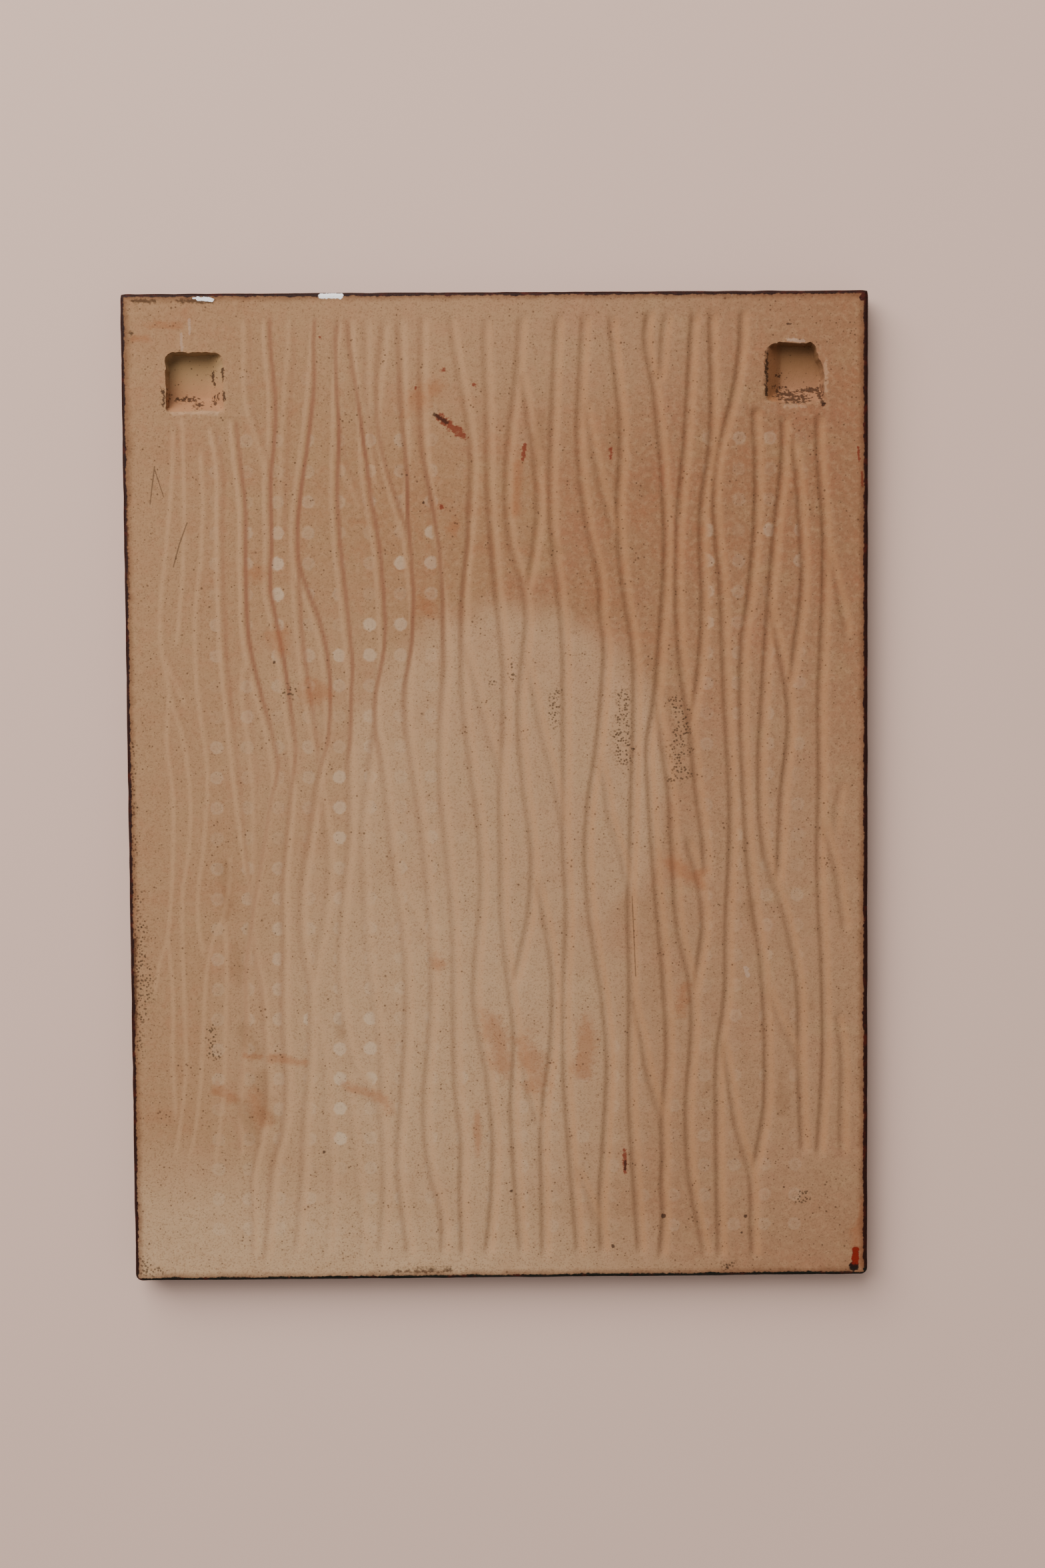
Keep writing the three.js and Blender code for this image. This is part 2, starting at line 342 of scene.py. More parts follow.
# Glaze that ran over the edge, and paint that was smeared on it
GLAZE_DRIPS = (
    (144.3, -196.2, 2.0), (144.9, -189.6, 144.7, -194.6, 1.4), (148.8, -192.2, 1.0),
    (148.8, -56, 1.1), (148.7, -92, 1.3), (148.8, -150, 1.1), (148.8, 19, 1.0), (148.7, 146, 1.2),
    (149.6, 199.6, 147.6, 196.8, 1.4),
)
RED_DROP = ((144.9, -189.6, 144.8, -194.0, 2.0),)
PAINT_SMEARS = (
    (-118.6, 197.7, -113, 197.3, 0.8), (-120.5, 197.9, -118, 197.9, 0.35),
    (-69.4, 198.5, -61.6, 198.5, 1.1),
)
FAR_AWAY = 5.0  # a place that no mark reaches, in half widths of a mark

GRAIN_DEPTH = 0.14  # relief of the clay's grain, which is too fine for the mesh

# The light and the camera, in metres and degrees
KEY_PLACE = (-1.0, 1.5, 1.8)
KEY_SIZE = 2.3
KEY_POWER = 118
KEY_COLOUR = (1.0, 0.985, 0.96)
SURROUND_COLOUR = (1.0, 0.98, 0.96, 1.0)
SURROUND_STRENGTH = 0.42
CAMERA_PLACE = (0.00192, 0.04728, 0.89494)
CAMERA_TURN = (-2.906, -0.531, -0.401)
TABLE_REACH = 1.6  # from the middle of the table top to each of its edges


# Plain helpers for numbers

def smooth_step(value, start, stop):
    """0 below start, 1 above stop, with a smooth rise between them."""
    share = np.clip((value - start) / (stop - start), 0, 1)
    return share * share * (3 - 2 * share)


def rough(x, y, size, seed):
    """Smooth random heights from 0 to 1, with bumps about that size across."""
    heights = np.random.default_rng(seed).random((256, 256))
    across = np.asarray(x) / size + 97.3
    up = np.asarray(y) / size + 83.1
    column = np.floor(across).astype(int)
    row = np.floor(up).astype(int)
    u = smooth_step(across - column, 0, 1)
    v = smooth_step(up - row, 0, 1)
    near = heights[row % 256, column % 256] * (1 - u) + heights[row % 256, (column + 1) % 256] * u
    row = row + 1
    far = heights[row % 256, column % 256] * (1 - u) + heights[row % 256, (column + 1) % 256] * u
    return near * (1 - v) + far * v


def smooth_curve(points):
    """A smooth function of y through points (x, y), which are given from the top down."""
    x, y = np.array(points[::-1], float).T
    slope = np.gradient(x, y)

    def at(level):
        level = np.clip(level, y[0], y[-1])
        k = np.clip(np.searchsorted(y, level, side="right") - 1, 0, len(y) - 2)
        step = y[k + 1] - y[k]
        t = (level - y[k]) / step
        start = x[k] * (1 + 2 * t) * (1 - t) ** 2 + step * slope[k] * t * (1 - t) ** 2
        end = x[k + 1] * t * t * (3 - 2 * t) - step * slope[k + 1] * t * t * (1 - t)
        return start + end

    return at


def even(start, stop, step):
    """Evenly spaced positions from start up to, but without, stop."""
    count = max(1, round((stop - start) / step))
    return np.linspace(start, stop, count, endpoint=False)


def with_walls(lines, walls):
    """The lines, with each wall's own line in place of those that crowd it."""
    kept = [line for line in lines if min(abs(line - wall) for wall in walls) > LINE_GAP]
    return np.array(sorted([*kept, *walls]))


# The relief of the back

def stripe(off, lean, aside, core, edge):
    """One stripe along a groove: 1 along its middle and 0 beyond its edge."""
    steepness = (lean + 1) / 2
    return 1 - smooth_step(np.abs(off - lean * aside), core, edge + STRIPE_WIDENING * steepness)


def shade_and_stain_share(x, y, past_line):
    """How much of its stain and painted shade a groove still has at each point."""
    uneven = 0.6 + 0.4 * rough(x, y, 24, 41)
    past_turn = 1 - 0.82 * smooth_step(past_line, -20, 45)
    at_left_edge = 0.35 + 0.65 * smooth_step(x, -122, -98)
    on_left = smooth_step(-x, 35, 75)
    low_on_left = 1 - 0.5 * on_left * smooth_step(-y, -45, 10)
    return uneven * past_turn * at_left_edge * low_on_left * (1 - 0.15 * on_left)


def groove_form(x, y):
    """The combed grooves: their full depth, the share of it that is left, and their two stripes.

    The dark stripe is stain and painted shade on the steep side, the pale one is painted light on
    the gentle side.
    """
    line_y, line_x = np.array(TURN_LINE, float).T
    past_line = x - np.interp(y, line_y, line_x)
    lean = np.clip(past_line / TURN_BLUR, -1, 1)
    aside = np.where(lean > 0, lean * FLOOR_ASIDE_RIGHT, lean * FLOOR_ASIDE_LEFT)
    steepness = (lean + 1) / 2
    left_run = GENTLE_RUN + (STEEP_RUN - GENTLE_RUN) * steepness
    right_run = STEEP_RUN + (GENTLE_RUN - STEEP_RUN) * steepness
    total = np.zeros_like(x)
    groove_shade_and_stain = np.zeros_like(x)
    groove_painted_light = np.zeros_like(x)
    for kind, grooves in GROOVES.items():
        share = GROOVE_DEPTHS[kind] / GROOVE_DEPTHS["deep"]
        for points in grooves:
            off = x - (smooth_curve(points)(y) - aside)
            run = np.where(off < 0, left_run, right_run)
            ends = np.minimum(points[0][1] + 1 - y, y - points[-1][1] + 1)
            run_out = smooth_step(ends, 0, GROOVE_TAPER)
            fall = 1 - smooth_step(np.abs(off), FLOOR_HALF, FLOOR_HALF + run)
            total += (GROOVE_DEPTHS[kind] * run_out * fall) ** 4
            # the painted stripes: stain with painted shade on the steep side, painted light on the
            # gentle side
            in_shade_and_stain = stripe(off, lean, **SHADE_AND_STAIN_STRIPE)
            in_painted_light = stripe(off, lean, **PAINTED_LIGHT_STRIPE)
            groove_shade_and_stain = np.maximum(groove_shade_and_stain, share ** 1.5 * run_out * in_shade_and_stain)
            groove_painted_light = np.maximum(groove_painted_light, share ** 0.5 * run_out * in_painted_light)
    groove_shade_and_stain = groove_shade_and_stain * shade_and_stain_share(x, y, past_line)
    groove_painted_light = groove_painted_light * (1 + 0.4 * smooth_step(-x, 85, 115))
    full_y, full_x = np.array(FULL_LINE, float).T
    from_full = np.interp(y, full_y, full_x) - x
    strength = 1 - (1 - SHALLOW_SHARE) * smooth_step(from_full, 0, FADE)
    return total ** 0.25, strength, groove_shade_and_stain, groove_painted_light * (1 - groove_shade_and_stain)


def dot_strength(x, y, flat):
    """How pale the kiln setter's dot is that each point lies nearest to."""
    column = np.rint((x - y * DOT_LEAN - DOT_COLUMN) / DOTS_ACROSS).astype(int)
    row = np.rint((y - DOT_ROW) / DOTS_UP).astype(int)
    chance = np.random.default_rng(51).random((64, 64))[row + 32, column + 32]
    middle = (column > 3) & (column < 12) & (row > -9)
    zone = np.where(middle, DOTS_IN_MIDDLE, FAINT_DOTS) * np.where(row > 11, 0.3, 1.0)
    zone = zone * np.where(column > 6, 0.65, 1.0)
    zone = zone * ((column >= DOT_COLUMNS[0]) & (column <= DOT_COLUMNS[1]))
    zone = zone * ((row >= DOT_ROWS[0]) & (row <= DOT_ROWS[1]))
    strength = zone * (0.25 + 0.75 * chance)
    for at, lowest, highest, share in BRIGHT_DOTS:
        here = (column == at) & (row >= lowest) & (row <= highest)
        strength = np.where(here, share * (0.8 + 0.2 * chance), strength)
    return strength * flat


def bleached_and_lit(x, y):
    """How pale the clay is at each point in the pale patches: bleached, and painted light in the
    low ones.
    """
    share = np.zeros_like(x)
    for middle_x, middle_y, half_width, half_height, edge, strength in PALE_PATCHES:
        away = np.hypot((x - middle_x) / half_width, (y - middle_y) / half_height)
        away = away + (rough(x, y, 9, 61) - 0.5) * 0.09
        share = np.maximum(share, strength * (1 - smooth_step(away, 1 - edge, 1 + edge)))
    return share


def from_marks(x, y, marks):
    """How far from the nearest mark each point lies, where 1 is the mark's own edge.

    A spot is taken for a stroke without length.
    """
    nearest = np.full_like(x, FAR_AWAY)
    for mark in marks:
        from_x, from_y, to_x, to_y, half_width = mark if len(mark) == 5 else (*mark[:2], *mark)
        run_x = to_x - from_x
        run_y = to_y - from_y
        length = max(math.hypot(run_x, run_y), 1e-6)
        along = ((x - from_x) * run_x + (y - from_y) * run_y) / length ** 2
        along = np.clip(along, 0, 1)
        away = np.hypot(x - from_x - along * run_x, y - from_y - along * run_y)
        nearest = np.minimum(nearest, away / half_width)
    return nearest


def socket_depth(x, y, side, top):
    """How deep one socket is at each point. side is -1 for the left one and 1 for the right."""
    from_outer = side * (side * SOCKET_OUTER - x)
    from_inner = side * x - (SOCKET_OUTER - SOCKET_MOUTH)
    from_top = top - y
    from_bottom = y - (top - SOCKET_MOUTH)
    walls = (
        np.minimum(from_outer, from_top) * SOCKET_DEPTH / SOCKET_WALL_RUN,
        from_inner * SOCKET_DEPTH / SOCKET_INNER_SLOPE,
        from_bottom * SOCKET_DEPTH / SOCKET_LOWER_SLOPE,
        np.full_like(x, SOCKET_DEPTH),
    )
    total = sum(np.exp(-np.clip(wall, -20, 40) / SOCKET_BLUNTNESS) for wall in walls)
    return np.clip(-SOCKET_BLUNTNESS * np.log(total), 0, SOCKET_DEPTH)


# The tile's mesh

def tile_lines():
    """The mesh's columns and rows: close together at the edges and the socket walls."""
    inner_x = HALF_WIDTH - CORNER_RADIUS
    inner_y = HALF_HEIGHT - CORNER_RADIUS
    edge = np.array(EDGE_LINES)
    columns = even(-inner_x, inner_x + COLUMN_STEP, COLUMN_STEP)
    columns = columns[columns < inner_x - LINE_GAP]
    walls = [SOCKET_OUTER, SOCKET_OUTER - SOCKET_WALL_RUN, SOCKET_OUTER - SOCKET_MOUTH,
             SOCKET_OUTER - SOCKET_MOUTH + SOCKET_INNER_SLOPE]
    columns = with_walls(columns, [-wall for wall in walls] + walls)
    columns = [*(edge - HALF_WIDTH), *columns, inner_x, *(HALF_WIDTH - edge[::-1])]
    sockets_low = LEFT_SOCKET_TOP - SOCKET_MOUTH - SOCKET_ROOM
    sockets_high = RIGHT_SOCKET_TOP + SOCKET_ROOM
    rows = [*even(-inner_y, sockets_low, ROW_STEP),
            *even(sockets_low, sockets_high, SOCKET_ROW_STEP),
            *even(sockets_high, inner_y, ROW_STEP)]
    walls = [level
             for top in (LEFT_SOCKET_TOP, RIGHT_SOCKET_TOP)
             for level in (top, top - SOCKET_WALL_RUN, top - SOCKET_MOUTH)]
    rows = with_walls(rows, walls)
    rows = [*(edge - HALF_HEIGHT), *rows, inner_y, *(HALF_HEIGHT - edge[::-1])]
    return np.array(columns), np.array(rows)


def outlined(x, y, inset=0.0):
    """Bends the square grid to the tile's rounded and slightly wandering outline."""
    out_x = np.maximum(np.abs(x) - (HALF_WIDTH - CORNER_RADIUS), 0)
    out_y = np.maximum(np.abs(y) - (HALF_HEIGHT - CORNER_RADIUS), 0)
    length = np.maximum(np.hypot(out_x, out_y), 1e-9)
    rounding = np.where(y > 0, TOP_CORNER_ROUNDING, 1.0)
    share = 1 + (np.maximum(out_x, out_y) / length - 1) * rounding
    share = np.where((out_x > 0) & (out_y > 0), share, 1.0)
    wobble = EDGE_WOBBLE * rough(x, y, 7.0, 11) * (0.6 + 0.4 * rough(x, y, 2.2, 12))
    share = share * (1 - (wobble + inset) / CORNER_RADIUS)
    core_x = np.clip(x, CORNER_RADIUS - HALF_WIDTH, HALF_WIDTH - CORNER_RADIUS)
    core_y = np.clip(y, CORNER_RADIUS - HALF_HEIGHT, HALF_HEIGHT - CORNER_RADIUS)
    return core_x + np.sign(x) * out_x * share, core_y + np.sign(y) * out_y * share


def bent(x, y, side, top):
    """How far the clay round one socket is pushed: its corners are round and its rims torn."""
    half = SOCKET_MOUTH / 2
    off_x = x - side * (SOCKET_OUTER - half)
    off_y = y - (top - half)
    top_radius = np.where(
        side * off_x > 0, SOCKET_CORNERS["outer top"], SOCKET_CORNERS["inner top"]
    )
    radius = np.where(off_y > 0, top_radius, SOCKET_CORNERS["bottom"])
    out_x = np.maximum(np.abs(off_x) - (half - radius), 0)
    out_y = np.maximum(np.abs(off_y) - (half - radius), 0)
    reach = np.maximum(out_x, out_y)
    inwards = 1 - reach / np.maximum(np.hypot(out_x, out_y), 1e-9)
    inwards = inwards * (np.minimum(out_x, out_y) > 0)
    inwards = inwards * (1 - smooth_step(reach, radius, radius + BEND_REACH))
    push_x = -np.sign(off_x) * out_x * inwards
    push_y = -np.sign(off_y) * out_y * inwards
    # The right mouth's outer top corner is broken, and the break runs out above it and below it
    if side > 0:
        up = smooth_step(off_y, -1, half - 0.5) * (1 - smooth_step(off_y, half + 0.5, half + 5))
        broken = up * (1 - smooth_step(np.abs(off_x - half), *BROKEN_HALF))
        push_x = push_x - broken * (BROKEN_CORNER - radius * BROKEN_EASE)
    away = np.maximum(np.abs(off_x), np.abs(off_y)) - half
    torn = (1 - smooth_step(np.abs(away), *TORN_BAND)) * SOCKET_RAGGEDNESS
    torn = torn * (1 - smooth_step(np.minimum(out_x, out_y), 0.5, 2.5))
    torn_x = rough(x, y, 2.4, 21 + side) + rough(x, y, 1.3, 25 + side) - 1
    torn_y = rough(x, y, 2.4, 31 + side) + rough(x, y, 1.3, 35 + side) - 1
    return push_x + torn_x * torn, push_y + torn_y * torn


def back_surface(x, y):
    """The back's points, one for each crossing of the grid, and what its material has to know."""
    from_edge = np.minimum(HALF_WIDTH - np.abs(x), HALF_HEIGHT - np.abs(y))
    roll = np.clip(EDGE_RADIUS - from_edge, 0, EDGE_RADIUS)
    edge_drop = EDGE_RADIUS - np.sqrt(EDGE_RADIUS ** 2 - roll ** 2)
    grooves, strength, groove_shade_and_stain, groove_painted_light = groove_form(x, y)
    sockets = np.maximum(
        socket_depth(x, y, -1, LEFT_SOCKET_TOP), socket_depth(x, y, 1, RIGHT_SOCKET_TOP)
    )
    dips = BACK_UNEVENNESS * (0.7 * rough(x, y, 26, 1) + 0.3 * rough(x, y, 7, 2))
    dips = dips * smooth_step(from_edge, 0, 4)
    z = THICKNESS - edge_drop - dips - np.maximum(grooves * strength, sockets)
    back_x, back_y = outlined(x, y)
    for side, top in ((-1, LEFT_SOCKET_TOP), (1, RIGHT_SOCKET_TOP)):
        push_x, push_y = bent(x, y, side, top)
        back_x = back_x + push_x
        back_y = back_y + push_y
    stored = {
        # the grooves' stripes: stain with painted shade, and painted light
        "groove_shade_and_stain": groove_shade_and_stain,
        "groove_painted_light": groove_painted_light,
        "socket": sockets / SOCKET_DEPTH,
        "dots": dot_strength(x, y, 1 - smooth_step(grooves, 0.4, 0.75)),
        "bleached_and_lit": bleached_and_lit(x, y),
        "blotch": from_marks(x, y, ORANGE_BLOTCHES),
        "smudge": from_marks(x, y, BROWN_SMUDGES),
        "crowd": from_marks(x, y, SPECK_CROWDS),
        "grime": from_marks(x, y, EDGE_GRIME),
    }
    return np.stack([back_x, back_y, z], axis=-1).reshape(-1, 3), stored


def tile_mesh():
    """The whole fired piece as one closed mesh, with its relief stored for its material."""
    columns, rows = tile_lines()
    x, y = np.meshgrid(columns, rows)
    back, stored = back_surface(x, y)
    number = np.arange(x.size).reshape(x.shape)
    faces = np.stack(
        [number[:-1, :-1], number[:-1, 1:], number[1:, 1:], number[1:, :-1]], axis=-1
    ).reshape(-1, 4).tolist()

    # The sides and the rolled edge of the face: rings of points under the back's outline
    ring = np.concatenate([number[0, :-1], number[:-1, -1], number[-1, :0:-1], number[:0:-1, 0]])
    ring_x = x.reshape(-1)[ring]
    ring_y = y.reshape(-1)[ring]
    levels = [(0.0, THICKNESS * share) for share in SIDE_LINES]
    turns = np.radians(BOTTOM_TURNS)
    levels += [(EDGE_RADIUS * (1 - math.cos(a)), EDGE_RADIUS * (1 - math.sin(a))) for a in turns]
    points = [back]
    upper = ring
    for inset, level in levels:
        edge_x, edge_y = outlined(ring_x, ring_y, inset)
        start = sum(len(part) for part in points)
        points.append(np.stack([edge_x, edge_y, np.full(len(ring), level)], axis=-1))
        lower = np.arange(start, start + len(ring))
        faces += np.stack([lower, np.roll(lower, -1), np.roll(upper, -1), upper], axis=-1).tolist()
        upper = lower
    faces.append(upper[::-1].tolist())

    mesh = bpy.data.meshes.new("tile_body")
    mesh.from_pydata((np.concatenate(points) * MM).tolist(), [], faces)
    rings = np.tile(ring, len(levels))
    for name, values in stored.items():
        store(mesh, name, np.concatenate([values.reshape(-1), values.reshape(-1)[rings]]))
    mesh.polygons.foreach_set("use_smooth", np.ones(len(mesh.polygons), bool))
    mesh.set_sharp_from_angle(angle=math.radians(SHARP_TURN))
    return mesh


def store(mesh, name, values):
    """Keeps one number for each of the mesh's points, for its material to read."""
    attribute = mesh.attributes.new(name, "FLOAT", "POINT")
    attribute.data.foreach_set("value", values.astype(np.float32))


# Materials

def paint(red, green, blue):
    """A colour in the usual 0 to 255 numbers, as Blender's linear colour."""
    shares = [channel / 255 for channel in (red, green, blue)]
    linear = [
        share / 12.92 if share <= 0.04045 else ((share + 0.055) / 1.055) ** 2.4
        for share in shares
    ]
    return (*linear, 1.0)


class Amount:
    """A number that changes over a surface, and the sums that can be done with it."""

    def __init__(self, finish, socket):
        self.finish = finish
        self.socket = socket

    def maths(self, operation, *others):
        values = {place + 1: other for place, other in enumerate(others)}
        return self.finish.add("ShaderNodeMath", {"operation": operation}, {0: self, **values})

    def turned(self, operation, other):
        return self.finish.add("ShaderNodeMath", {"operation": operation}, {0: other, 1: self})

    def __add__(self, other):
        return self.maths("ADD", other)

    def __radd__(self, other):
        return self.turned("ADD", other)

    def __sub__(self, other):
        return self.maths("SUBTRACT", other)

    def __rsub__(self, other):
        return self.turned("SUBTRACT", other)

    def __mul__(self, other):
        return self.maths("MULTIPLY", other)

    def __rmul__(self, other):
        return self.turned("MULTIPLY", other)

    def __truediv__(self, other):
        return self.maths("DIVIDE", other)

    def __pow__(self, other):
        return self.maths("POWER", other)

    def __abs__(self):
        return self.maths("ABSOLUTE")

    def rounded(self):
        return self.maths("ROUND")

    def or_less(self, other):
        return self.maths("MINIMUM", other)

    def or_more(self, other):
        return self.maths("MAXIMUM", other)


class Finish:
    """One procedural material, and the nodes that it is made of."""

    def __init__(self, name):
        self.material = bpy.data.materials.new(name)
        self.material.use_nodes = True
        self.tree = self.material.node_tree
        self.tree.nodes.clear()
        metres = self.add("ShaderNodeTexCoord", output="Object")
        self.place = self.vector("SCALE", {0: metres, "Scale": 1 / MM})
        self.flat_place = self.vector("MULTIPLY", {0: self.place, 1: (1.0, 1.0, 0.0)})
        parts = self.add_node("ShaderNodeSeparateXYZ", inputs={0: self.place})
        self.x = Amount(self, parts.outputs["X"])
        self.y = Amount(self, parts.outputs["Y"])
        self.z = Amount(self, parts.outputs["Z"])

    def add_node(self, kind, settings=None, inputs=None):
        """Adds a node: its settings are made first, then its sockets' values or links."""
        node = self.tree.nodes.new(kind)
        for name, value in (settings or {}).items():
            setattr(node, name, value)
        for name, value in (inputs or {}).items():
            if isinstance(value, Amount):
                self.tree.links.new(value.socket, node.inputs[name])
            else:
                node.inputs[name].default_value = value
        return node

    def add(self, kind, settings=None, inputs=None, output=0):
        """Adds a node and gives one of its outputs."""
        return Amount(self, self.add_node(kind, settings, inputs).outputs[output])

    def vector(self, operation, inputs, output="Vector"):
        """One step of sums on places."""
        return self.add("ShaderNodeVectorMath", {"operation": operation}, inputs, output)

    def mix(self, share, first, second):
        """One colour turning into another as share goes from 0 to 1."""
        settings = {"data_type": "RGBA", "blend_type": "MIX", "clamp_factor": True}
        return self.add("ShaderNodeMix", settings, {0: share, 6: first, 7: second}, 2)

    def rise(self, value, start, stop):
        """0 at start and 1 at stop, with a smooth rise between them; start may be the larger."""
        settings = {"interpolation_type": "SMOOTHSTEP"}
        if start > stop:
            values = {0: value, 1: stop, 2: start, 3: 1.0, 4: 0.0}
        else:
            values = {0: value, 1: start, 2: stop, 3: 0.0, 4: 1.0}
        return self.add("ShaderNodeMapRange", settings, values)

    def moved(self, shift, stretch=(1.0, 1.0, 1.0)):
        """The place, moved aside so that two patterns don't match, and squeezed."""
        location = (shift, shift * 1.7, shift * 0.6)
        values = {"Vector": self.place, "Location": location, "Scale": stretch}
        return self.add("ShaderNodeMapping", None, values)

    def noise(self, size, detail=3.0, shift=0.0, stretch=(1.0, 1.0, 1.0)):
        """Soft random patches about that many millimetres across, from 0 to 1."""
        place = self.moved(shift, stretch)
        values = {"Vector": place, "Scale": 1 / size, "Detail": detail, "Roughness": 0.55}
        return self.add("ShaderNodeTexNoise", {"noise_dimensions": "3D"}, values)

    def from_crumbs(self, apart, shift=0.0):
        """Distance in millimetres to the nearest of many scattered points."""
        settings = {"voronoi_dimensions": "3D", "feature": "F1"}
        values = {"Vector": self.moved(shift), "Scale": 1 / apart, "Randomness": 1.0}
        return apart * self.add("ShaderNodeTexVoronoi", settings, values, "Distance")

    def stored(self, name):
        """The number that the mesh keeps under that name."""
        return self.add("ShaderNodeAttribute", {"attribute_name": name}, output="Fac")

    def from_spot(self, x, y, radius):
        """How far from a spot, where 1 is the spot's own edge."""
        middle = (x, y, 0.0)
        return self.vector("DISTANCE", {0: self.flat_place, 1: middle}, "Value") / radius

    def from_stroke(self, x, y, to_x, to_y, half_width):
        """How far from a straight stroke, where 1 is the stroke's own edge."""
        reach = math.hypot(to_x - x, to_y - y) / 2 / half_width
        values = {
            "Vector": self.flat_place,
            "Location": ((x + to_x) / 2, (y + to_y) / 2, 0.0),
            "Rotation": (0.0, 0.0, math.atan2(to_y - y, to_x - x)),
            "Scale": (half_width, half_width, half_width),
        }
        own_place = self.add("ShaderNodeMapping", {"vector_type": "TEXTURE"}, values)
        away = self.vector("ABSOLUTE", {0: own_place})
        away = self.vector("SUBTRACT", {0: away, 1: (reach, 0.0, 0.0)})
        away = self.vector("MAXIMUM", {0: away, 1: (0.0, 0.0, 0.0)})
        return self.vector("LENGTH", {0: away}, "Value")

    def from_marks(self, marks):
        """How far from the nearest of some spots and strokes, where 1 is a mark's own edge."""
        nearest = None
        for mark in marks:
            away = self.from_spot(*mark) if len(mark) == 3 else self.from_stroke(*mark)
            nearest = away if nearest is None else nearest.or_less(away)
        return nearest

    def finished(self, colour, roughness, height=None, **others):
        """Joins colour, roughness and relief to the material's shader."""
        inputs = {"Base Color": colour, "Roughness": roughness, **others}
        if height is not None:
            values = {"Strength": 1.0, "Distance": GRAIN_DEPTH * MM, "Height": height}
            inputs["Normal"] = self.add("ShaderNodeBump", None, values, "Normal")
        shader = self.add("ShaderNodeBsdfPrincipled", None, inputs, "BSDF")
        self.add_node("ShaderNodeOutputMaterial", None, {"Surface": shader})
        return self.material


def clay_ground(tile, fine, grain, soft):
    """The bare clay: buff on the left, browner and rosier on the right, with bleached patches and
    painted light low on the back.
    """
    wide = tile.noise(60, 2.0, shift=3)
    patches = tile.noise(14, 4.0, shift=40, stretch=(0.6, 1.1, 1.0))
    to_right = tile.rise(tile.x + (wide - 0.5) * 90, -70, 120)
    colour = tile.mix(to_right, paint(144, 107, 76), paint(132, 92, 65))
    rosy = tile.rise(tile.noise(26, 3.0, shift=220), 0.48, 0.72) * tile.rise(tile.x, -120, 20)
    colour = tile.mix(rosy * 0.3, colour, paint(138, 84, 62))
    colour = tile.mix(tile.rise(patches, 0.47, 0.75) * 0.35, colour, paint(138, 86, 58))
    colour = tile.mix(tile.rise(patches, 0.47, 0.25) * 0.45, colour, paint(146, 114, 80))
    colour = tile.mix(tile.rise(soft, 0.0, 0.2) * 0.3, colour, paint(142, 88, 60))
    # Pale patches: bleached clay, and painted light low on the back
    bleached_and_lit = tile.stored("bleached_and_lit") * (1 + soft * 0.8)
    colour = tile.mix(bleached_and_lit, colour, paint(177, 146, 114))
    colour = tile.mix(tile.rise(fine, 0.4, 0.75) * 0.4, colour, paint(162, 126, 94))
    return tile.mix(tile.rise(grain, 0.52, 0.25) * 0.5, colour, paint(104, 74, 52))


def setter_dots(tile, colour, ragged):
    """Pale dots where the kiln's setter touched. They lie on the flats between the grooves."""
    across = (tile.x - tile.y * DOT_LEAN - DOT_COLUMN) / DOTS_ACROSS
    up = (tile.y - DOT_ROW) / DOTS_UP
    off_x = (across - across.rounded()) * DOTS_ACROSS
    off_y = (up - up.rounded()) * DOTS_UP
    away = (off_x * off_x + off_y * off_y) ** 0.5 + ragged * 1.7
    dot = tile.rise(away, DOT_RADIUS + 0.5, DOT_RADIUS - 0.5)
    strength = tile.stored("dots")
    filled = 0.62 + tile.rise(strength, 0.1, 0.4) * 0.28
    ring = tile.rise(away, DOT_RADIUS - 1.8, DOT_RADIUS - 0.6)
    return tile.mix(dot * strength * (filled + ring * (1 - filled)), colour, paint(190, 168, 142))


def groove_stain_shade_and_light(tile, colour):
    """Stain and painted shade in the steep side of each groove, and painted light on the gentle
    side.
    """
    to_right = tile.rise(tile.x, -60, 60)
    # Painted light for the gentle side, and stain with painted shade for the steep side, both
    # darker on the right
    painted_light_colour = tile.mix(to_right, paint(174, 136, 102), paint(162, 116, 80))
    darkening = tile.mix(to_right, paint(118, 74, 54), paint(86, 48, 30))
    colour = tile.mix(tile.stored("groove_painted_light") * 0.46, colour, painted_light_colour)
    return tile.mix(tile.stored("groove_shade_and_stain"), colour, darkening)


def clay_marks(tile, colour, ragged, soft):
    """Stains, specks, dirt, scratches and spots of red and black."""
    blotch = tile.rise(tile.stored("blotch") + soft * 2.8 + ragged, 1.5, 0.1)
    colour = tile.mix(blotch * 0.4, colour, paint(136, 76, 44))
    smudge = tile.rise(tile.stored("smudge") + soft * 3.0 + ragged, 1.6, 0.1)
    colour = tile.mix(smudge * 0.28, colour, paint(114, 80, 54))
    crowd = tile.rise(tile.stored("crowd") + soft * 4.0, 1.4, 0.5)
    crumbs = tile.rise(tile.from_crumbs(1.2, 180) + ragged * 0.6, 0.56, 0.32) * crowd
    specks = tile.rise(tile.from_crumbs(2.1, 190) + soft * 1.1, 0.36, 0.12)
    colour = tile.mix(specks * 0.65, colour, paint(66, 44, 28))
    colour = tile.mix(crumbs * 0.7, colour, paint(44, 32, 20))
    grime = tile.rise(tile.stored("grime") + soft * 1.4 + ragged * 2.4, 1.2, 0.4)
    colour = tile.mix(grime * 0.75, colour, paint(52, 36, 22))
    scratch = tile.rise(tile.from_marks(SCRATCHES) + ragged * 1.8, 1.4, 0.5)
    colour = tile.mix(scratch * 0.6, colour, paint(58, 42, 30))
    red = tile.rise(tile.from_marks(RED_MARKS) + ragged * 3.2, 1.1, 0.5)
    colour = tile.mix(red * 0.8, colour, paint(104, 34, 20))
    black = tile.rise(tile.from_marks(BLACK_MARKS) + ragged * 2.2, 1.1, 0.5)
    colour = tile.mix(black * 0.8, colour, paint(46, 26, 18))
    chalk = tile.rise(tile.from_marks(CHALK_MARKS) + ragged * 2.6, 1.1, 0.4)
    return tile.mix(chalk * 0.2, colour, paint(190, 170, 156))


